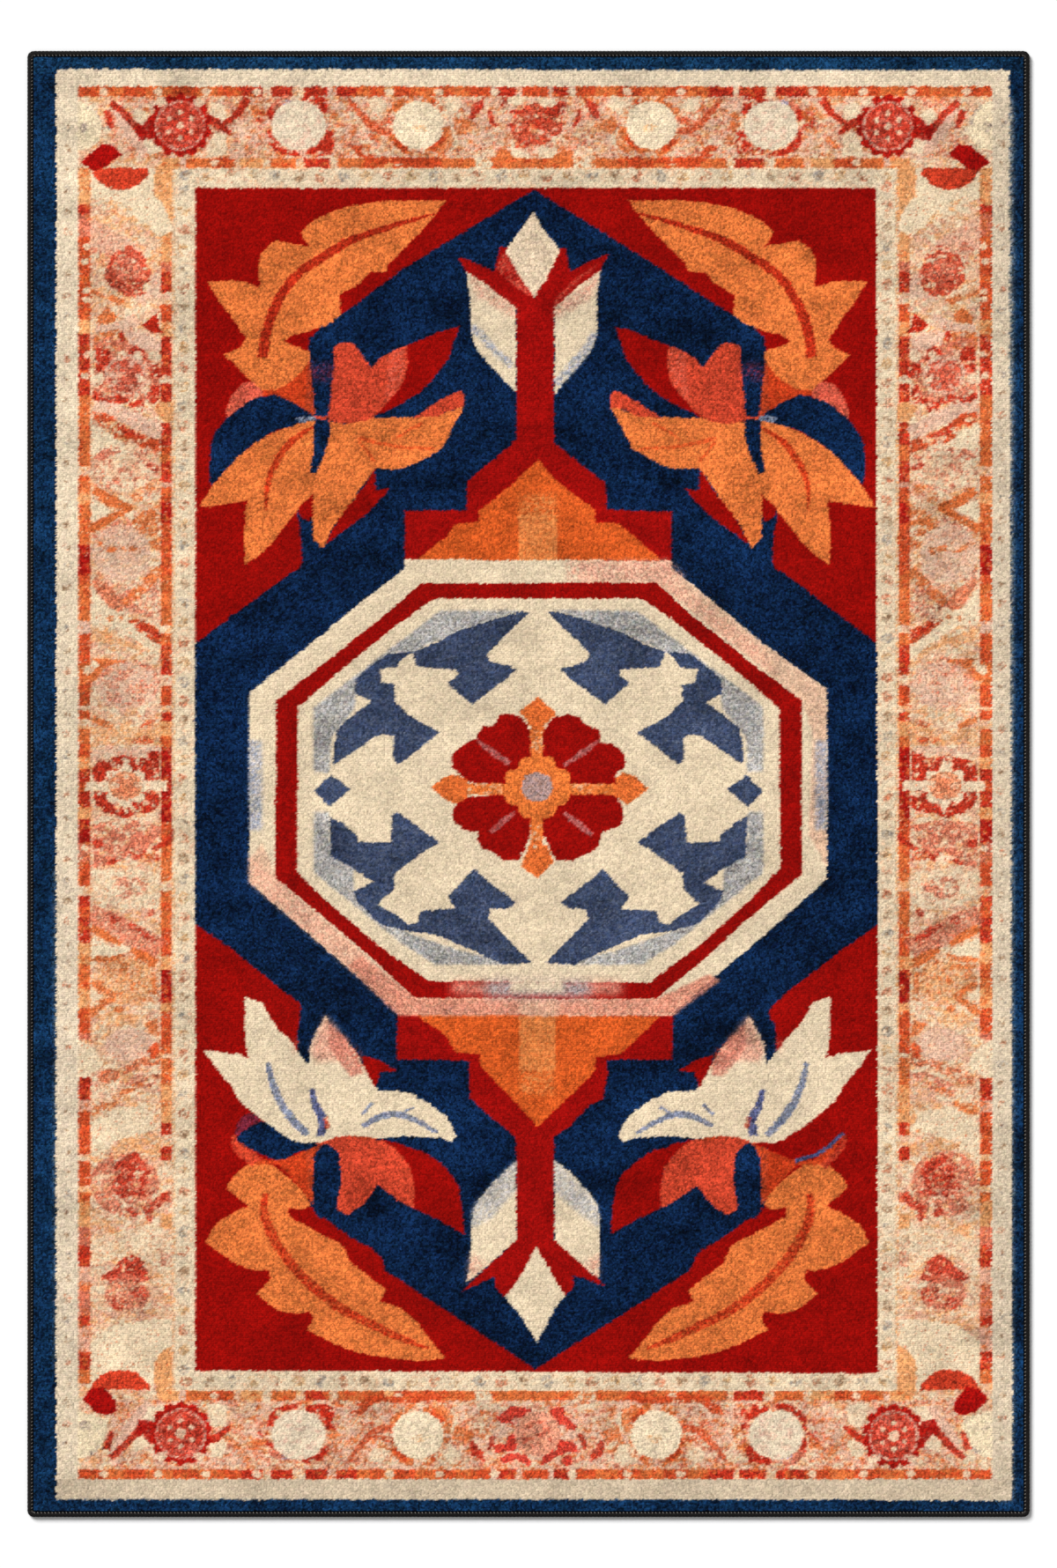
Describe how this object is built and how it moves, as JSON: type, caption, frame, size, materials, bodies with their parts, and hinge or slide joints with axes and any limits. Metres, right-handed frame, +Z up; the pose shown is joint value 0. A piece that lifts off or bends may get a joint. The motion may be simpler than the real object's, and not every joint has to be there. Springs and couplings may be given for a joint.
{
  "type": "area rug",
  "caption": "Rectangular cut-pile area rug with a central octagonal medallion, patterned borders, a bonded backing and a dark serged rim.",
  "frame": {"origin": "middle of the underside, on the floor", "axes": "+Z up out of the pile, +Y along the length towards the top end of the design, +X across the width to the right"},
  "size_m": [1.2, 1.755, 0.0085],
  "materials": {
    "navy_yarn": "cut pile, matt",
    "ivory_yarn": "cut pile, matt",
    "apricot_yarn": "cut pile, matt",
    "red_yarn": "cut pile, matt",
    "slate_yarn": "cut pile, matt",
    "serging_yarn": "wrapped yarn, slight sheen",
    "ground_cloth": "plain woven cloth",
    "latex": "dried latex, satin",
    "backing_cloth": "open woven cloth"
  },
  "bodies": {
    "root": {"secondary_backing": "backing_cloth", "latex_coat": "latex", "primary_backing": "ground_cloth", "navy_border_top_pile": "navy_yarn", "navy_border_bottom_pile": "navy_yarn", "navy_border_left_pile": "navy_yarn", "navy_border_right_pile": "navy_yarn", "ivory_guard_top_pile": "ivory_yarn", "ivory_guard_bottom_pile": "ivory_yarn", "ivory_guard_left_pile": "ivory_yarn", "ivory_guard_right_pile": "ivory_yarn", "main_border_top_pile": "apricot_yarn", "main_border_bottom_pile": "apricot_yarn", "main_border_left_pile": "apricot_yarn", "main_border_right_pile": "apricot_yarn", "inner_guard_top_pile": "ivory_yarn", "inner_guard_bottom_pile": "ivory_yarn", "inner_guard_left_pile": "ivory_yarn", "inner_guard_right_pile": "ivory_yarn", "field_top_pile": "red_yarn", "field_bottom_pile": "red_yarn", "field_left_pile": "red_yarn", "field_right_pile": "red_yarn", "medallion_pile": "slate_yarn", "spandrel_top_left_pile": "navy_yarn", "spandrel_top_right_pile": "navy_yarn", "spandrel_bottom_left_pile": "navy_yarn", "spandrel_bottom_right_pile": "navy_yarn", "serged_edge_top": "serging_yarn", "serged_edge_bottom": "serging_yarn", "serged_edge_left": "serging_yarn", "serged_edge_right": "serging_yarn"}
  },
  "joints": []
}
